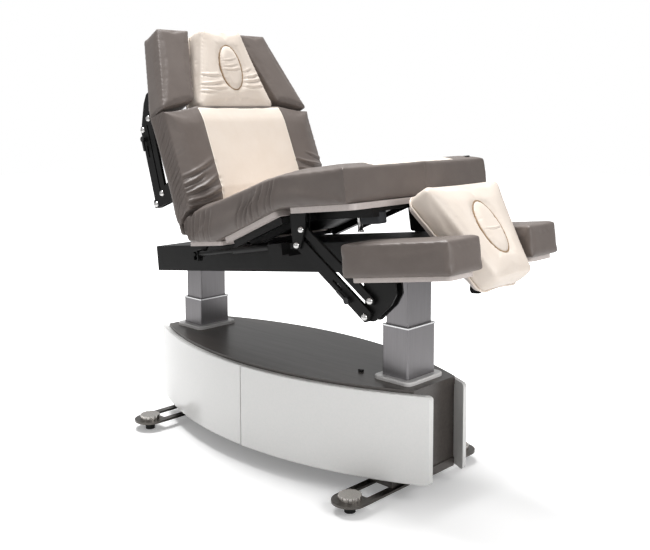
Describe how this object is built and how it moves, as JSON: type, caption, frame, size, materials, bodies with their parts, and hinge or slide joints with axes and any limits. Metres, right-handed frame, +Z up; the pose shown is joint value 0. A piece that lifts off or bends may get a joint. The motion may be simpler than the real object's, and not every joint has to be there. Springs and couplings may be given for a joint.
{
  "type": "spa treatment table",
  "caption": "Powered treatment table: cabinet base on levelling feet, telescopic columns, tilting beam and a padded seat, back, head wings and leg rests.",
  "frame": {"origin": "on the floor, midway between the two lifting columns", "axes": "+X to the foot end, +Y to the far long side, +Z up"},
  "size_m": [1.7227, 0.786, 1.6413],
  "materials": {
    "taupe_leatherette": "coated fabric over foam, matte",
    "cream_leatherette": "coated fabric over foam, matte",
    "dark_laminate": "dark grey laminate, satin",
    "white_gloss_door": "white lacquer, gloss",
    "pale_board": "pale coated board, satin",
    "black_powder_coat": "black powder coat, satin",
    "stainless_steel": "brushed stainless, satin",
    "anodised_aluminium": "anodised, satin",
    "column_flange": "pale powder coat, satin",
    "black_plastic": "black moulded plastic, matte",
    "levelling_steel": "polished steel with a rubber pad"
  },
  "bodies": {
    "base": {"base_top_panel": "dark_laminate", "base_carcass": "dark_laminate", "foot_bars": "stainless_steel", "column_housings": "column_flange"},
    "deck": {"main_beam": "black_powder_coat", "seat_plate": "pale_board", "seat_rear_cushion": "taupe_leatherette"},
    "thigh": {"thigh_board": "pale_board", "thigh_frame": "black_powder_coat", "seat_thigh_cushion": "taupe_leatherette"},
    "front": {"front_board": "pale_board", "front_frame": "black_powder_coat", "seat_front_cushion": "taupe_leatherette"},
    "back": {"back_board": "pale_board", "back_frame": "black_powder_coat", "back_cushion": "taupe_leatherette"},
    "foot_centre": {"foot_centre_board": "pale_board", "foot_centre_cushion": "cream_leatherette"},
    "head_centre": {"head_centre_board": "pale_board", "head_centre_cushion": "cream_leatherette"},
    "foot_near_door": {"foot_near_door": "white_gloss_door"},
    "foot_near_levelling_foot": {"foot_near_levelling_foot": "levelling_steel"},
    "foot_far_door": {"foot_far_door": "white_gloss_door"},
    "foot_far_levelling_foot": {"foot_far_levelling_foot": "levelling_steel"},
    "head_near_door": {"head_near_door": "white_gloss_door"},
    "head_near_levelling_foot": {"head_near_levelling_foot": "levelling_steel"},
    "head_far_door": {"head_far_door": "white_gloss_door"},
    "head_far_levelling_foot": {"head_far_levelling_foot": "levelling_steel"},
    "head_column_middle": {"head_column_middle": "anodised_aluminium"},
    "head_column_inner": {"head_column_inner": "anodised_aluminium"},
    "foot_column_middle": {"foot_column_middle": "anodised_aluminium"},
    "foot_column_inner": {"foot_column_inner": "anodised_aluminium"},
    "back_actuator_motor": {"back_actuator_motor": "black_powder_coat"},
    "back_actuator_rod": {"back_actuator_rod": "black_powder_coat"},
    "leg_near_rest_main_arm": {"leg_near_rest_main_arm": "black_powder_coat"},
    "leg_near_rest_link_arm": {"leg_near_rest_link_arm": "black_powder_coat"},
    "leg_near_rest_carrier": {"leg_near_rest_bracket": "black_powder_coat", "leg_near_rest_board": "pale_board", "leg_near_rest_cushion": "taupe_leatherette"},
    "leg_near_rest_clamp": {"leg_near_rest_clamp_lever": "black_plastic"},
    "head_near_wing_main_arm": {"head_near_wing_main_arm": "black_powder_coat"},
    "head_near_wing_link_arm": {"head_near_wing_link_arm": "black_powder_coat"},
    "head_near_wing_carrier": {"head_near_wing_bracket": "black_powder_coat", "head_near_wing_board": "pale_board", "head_near_wing_cushion": "taupe_leatherette"},
    "head_near_wing_clamp": {"head_near_wing_clamp_lever": "black_plastic"},
    "leg_far_rest_main_arm": {"leg_far_rest_main_arm": "black_powder_coat"},
    "leg_far_rest_link_arm": {"leg_far_rest_link_arm": "black_powder_coat"},
    "leg_far_rest_carrier": {"leg_far_rest_bracket": "black_powder_coat", "leg_far_rest_board": "pale_board", "leg_far_rest_cushion": "taupe_leatherette"},
    "leg_far_rest_clamp": {"leg_far_rest_clamp_lever": "black_plastic"},
    "head_far_wing_main_arm": {"head_far_wing_main_arm": "black_powder_coat"},
    "head_far_wing_link_arm": {"head_far_wing_link_arm": "black_powder_coat"},
    "head_far_wing_carrier": {"head_far_wing_bracket": "black_powder_coat", "head_far_wing_board": "pale_board", "head_far_wing_cushion": "taupe_leatherette"},
    "head_far_wing_clamp": {"head_far_wing_clamp_lever": "black_plastic"},
    "foot_centre_plug": {"foot_centre_plug": "cream_leatherette"},
    "head_centre_plug": {"head_centre_plug": "cream_leatherette"}
  },
  "joints": [
    {"name": "foot_near_door_hinge", "type": "hinge", "parent": "base", "child": "foot_near_door", "pos_m": [0.0015, -0.2925, 0.2265], "axis": [0, 0, -1], "range_deg": [0, 80]},
    {"name": "foot_near_levelling_foot_turn", "type": "hinge", "parent": "base", "child": "foot_near_levelling_foot", "pos_m": [0.561, -0.303, 0.05], "axis": [0, 0, 1], "range_deg": [-180, 180]},
    {"name": "foot_far_door_hinge", "type": "hinge", "parent": "base", "child": "foot_far_door", "pos_m": [0.0015, 0.2925, 0.2265], "axis": [0, 0, 1], "range_deg": [0, 80]},
    {"name": "foot_far_levelling_foot_turn", "type": "hinge", "parent": "base", "child": "foot_far_levelling_foot", "pos_m": [0.561, 0.303, 0.05], "axis": [0, 0, 1], "range_deg": [-180, 180]},
    {"name": "head_near_door_hinge", "type": "hinge", "parent": "base", "child": "head_near_door", "pos_m": [-0.0015, -0.2925, 0.2265], "axis": [0, 0, 1], "range_deg": [0, 80]},
    {"name": "head_near_levelling_foot_turn", "type": "hinge", "parent": "base", "child": "head_near_levelling_foot", "pos_m": [-0.561, -0.303, 0.05], "axis": [0, 0, 1], "range_deg": [-180, 180]},
    {"name": "head_far_door_hinge", "type": "hinge", "parent": "base", "child": "head_far_door", "pos_m": [-0.0015, 0.2925, 0.2265], "axis": [0, 0, -1], "range_deg": [0, 80]},
    {"name": "head_far_levelling_foot_turn", "type": "hinge", "parent": "base", "child": "head_far_levelling_foot", "pos_m": [-0.561, 0.303, 0.05], "axis": [0, 0, 1], "range_deg": [-180, 180]},
    {"name": "lift", "type": "slide", "parent": "base", "child": "head_column_inner", "axis": [0, 0, 1], "range_m": [-0.2, 0.06]},
    {"name": "head_middle_stage", "type": "slide", "parent": "base", "child": "head_column_middle", "axis": [0, 0, 1], "range_m": [-0.101, 0.031]},
    {"name": "tilt", "type": "hinge", "parent": "head_column_inner", "child": "deck", "pos_m": [-0.561, 0, 0.67826], "axis": [0, -1, 0], "range_deg": [-6.81, 2]},
    {"name": "foot_inner_stage", "type": "slide", "parent": "head_column_inner", "child": "foot_column_inner", "axis": [0, 0, 1], "range_m": [-0.136, 0.042]},
    {"name": "foot_middle_stage", "type": "slide", "parent": "head_column_middle", "child": "foot_column_middle", "axis": [0, 0, 1], "range_m": [-0.068, 0.021]},
    {"name": "thigh_tilt", "type": "hinge", "parent": "deck", "child": "thigh", "pos_m": [-0.00305, 0, 0.84359], "axis": [0, -1, 0], "range_deg": [-16.85, 0]},
    {"name": "front_level", "type": "hinge", "parent": "thigh", "child": "front", "pos_m": [0.30562, 0, 0.97883], "axis": [0, -1, 0], "range_deg": [0, 16.85]},
    {"name": "back_recline", "type": "hinge", "parent": "deck", "child": "back", "pos_m": [-0.24859, 0, 0.80822], "axis": [0, 1, 0], "range_deg": [-74.2, 0]},
    {"name": "actuator_motor_turn", "type": "hinge", "parent": "deck", "child": "back_actuator_motor", "pos_m": [0.2016, -0.265, 0.84184], "axis": [0, 1, 0], "range_deg": [-2, 2]},
    {"name": "actuator_stroke", "type": "slide", "parent": "back_actuator_motor", "child": "back_actuator_rod", "axis": [0.9845, 0, 0.1752], "range_m": [-0.001, 0.07325]},
    {"name": "leg_near_rest_arm_swing", "type": "hinge", "parent": "front", "child": "leg_near_rest_main_arm", "pos_m": [0.33894, -0.316, 0.86427], "axis": [0, -1, 0], "range_deg": [0, 45]},
    {"name": "leg_near_rest_link_swing", "type": "hinge", "parent": "front", "child": "leg_near_rest_link_arm", "pos_m": [0.36058, -0.316, 0.91923], "axis": [0, -1, 0], "range_deg": [0, 45]},
    {"name": "leg_near_rest_level", "type": "hinge", "parent": "leg_near_rest_main_arm", "child": "leg_near_rest_carrier", "pos_m": [0.63834, -0.316, 0.66618], "axis": [0, -1, 0], "range_deg": [-45, 0]},
    {"name": "leg_near_rest_clamp_turn", "type": "hinge", "parent": "leg_near_rest_main_arm", "child": "leg_near_rest_clamp", "pos_m": [0.57162, -0.316, 0.71032], "axis": [0, -1, 0], "range_deg": [0, 90]},
    {"name": "head_near_wing_arm_swing", "type": "hinge", "parent": "back", "child": "head_near_wing_main_arm", "pos_m": [-0.45337, -0.316, 0.9436], "axis": [0, 1, 0], "range_deg": [-45, 0]},
    {"name": "head_near_wing_link_swing", "type": "hinge", "parent": "back", "child": "head_near_wing_link_arm", "pos_m": [-0.41614, -0.316, 0.98944], "axis": [0, 1, 0], "range_deg": [-45, 0]},
    {"name": "head_near_wing_level", "type": "hinge", "parent": "head_near_wing_main_arm", "child": "head_near_wing_carrier", "pos_m": [-0.54646, -0.316, 1.2351], "axis": [0, 1, 0], "range_deg": [0, 45]},
    {"name": "head_near_wing_clamp_turn", "type": "hinge", "parent": "head_near_wing_main_arm", "child": "head_near_wing_clamp", "pos_m": [-0.5349, -0.316, 1.1989], "axis": [0, 1, 0], "range_deg": [0, 90]},
    {"name": "leg_far_rest_arm_swing", "type": "hinge", "parent": "front", "child": "leg_far_rest_main_arm", "pos_m": [0.33894, 0.316, 0.86427], "axis": [0, -1, 0], "range_deg": [0, 45]},
    {"name": "leg_far_rest_link_swing", "type": "hinge", "parent": "front", "child": "leg_far_rest_link_arm", "pos_m": [0.36058, 0.316, 0.91923], "axis": [0, -1, 0], "range_deg": [0, 45]},
    {"name": "leg_far_rest_level", "type": "hinge", "parent": "leg_far_rest_main_arm", "child": "leg_far_rest_carrier", "pos_m": [0.63834, 0.316, 0.66618], "axis": [0, -1, 0], "range_deg": [-45, 0]},
    {"name": "leg_far_rest_clamp_turn", "type": "hinge", "parent": "leg_far_rest_main_arm", "child": "leg_far_rest_clamp", "pos_m": [0.57162, 0.316, 0.71032], "axis": [0, -1, 0], "range_deg": [0, 90]},
    {"name": "head_far_wing_arm_swing", "type": "hinge", "parent": "back", "child": "head_far_wing_main_arm", "pos_m": [-0.45337, 0.316, 0.9436], "axis": [0, 1, 0], "range_deg": [-45, 0]},
    {"name": "head_far_wing_link_swing", "type": "hinge", "parent": "back", "child": "head_far_wing_link_arm", "pos_m": [-0.41614, 0.316, 0.98944], "axis": [0, 1, 0], "range_deg": [-45, 0]},
    {"name": "head_far_wing_level", "type": "hinge", "parent": "head_far_wing_main_arm", "child": "head_far_wing_carrier", "pos_m": [-0.54646, 0.316, 1.2351], "axis": [0, 1, 0], "range_deg": [0, 45]},
    {"name": "head_far_wing_clamp_turn", "type": "hinge", "parent": "head_far_wing_main_arm", "child": "head_far_wing_clamp", "pos_m": [-0.5349, 0.316, 1.1989], "axis": [0, 1, 0], "range_deg": [0, 90]},
    {"name": "foot_centre_tilt", "type": "hinge", "parent": "front", "child": "foot_centre", "pos_m": [0.65527, 0, 1.00679], "axis": [0, -1, 0], "range_deg": [0, 59.7]},
    {"name": "foot_centre_plug_lift", "type": "slide", "parent": "foot_centre", "child": "foot_centre_plug", "axis": [0.7975, 0, 0.6033], "range_m": [0, 0.12]},
    {"name": "head_centre_tilt", "type": "hinge", "parent": "back", "child": "head_centre", "pos_m": [-0.45913, 0, 1.27734], "axis": [0, 1, 0], "range_deg": [-30, 0]},
    {"name": "head_centre_plug_lift", "type": "slide", "parent": "head_centre", "child": "head_centre_plug", "axis": [0.9455, 0, 0.3257], "range_m": [0, 0.12]}
  ],
  "couplings": [
    {"joint": "head_middle_stage", "follows": "lift", "ratio": 0.5},
    {"joint": "foot_inner_stage", "follows": "tilt", "m_per_rad": 1.1273},
    {"joint": "foot_middle_stage", "follows": "tilt", "m_per_rad": 0.56366},
    {"joint": "front_level", "follows": "thigh_tilt", "ratio": -1},
    {"joint": "actuator_motor_turn", "follows": "back_recline", "ratio": 0.00746},
    {"joint": "actuator_stroke", "follows": "back_recline", "m_per_rad": -0.055793},
    {"joint": "leg_near_rest_link_swing", "follows": "leg_near_rest_arm_swing", "ratio": 1},
    {"joint": "leg_near_rest_level", "follows": "leg_near_rest_arm_swing", "ratio": -1},
    {"joint": "head_near_wing_link_swing", "follows": "head_near_wing_arm_swing", "ratio": 1},
    {"joint": "head_near_wing_level", "follows": "head_near_wing_arm_swing", "ratio": -1},
    {"joint": "leg_far_rest_link_swing", "follows": "leg_far_rest_arm_swing", "ratio": 1},
    {"joint": "leg_far_rest_level", "follows": "leg_far_rest_arm_swing", "ratio": -1},
    {"joint": "head_far_wing_link_swing", "follows": "head_far_wing_arm_swing", "ratio": 1},
    {"joint": "head_far_wing_level", "follows": "head_far_wing_arm_swing", "ratio": -1}
  ]
}
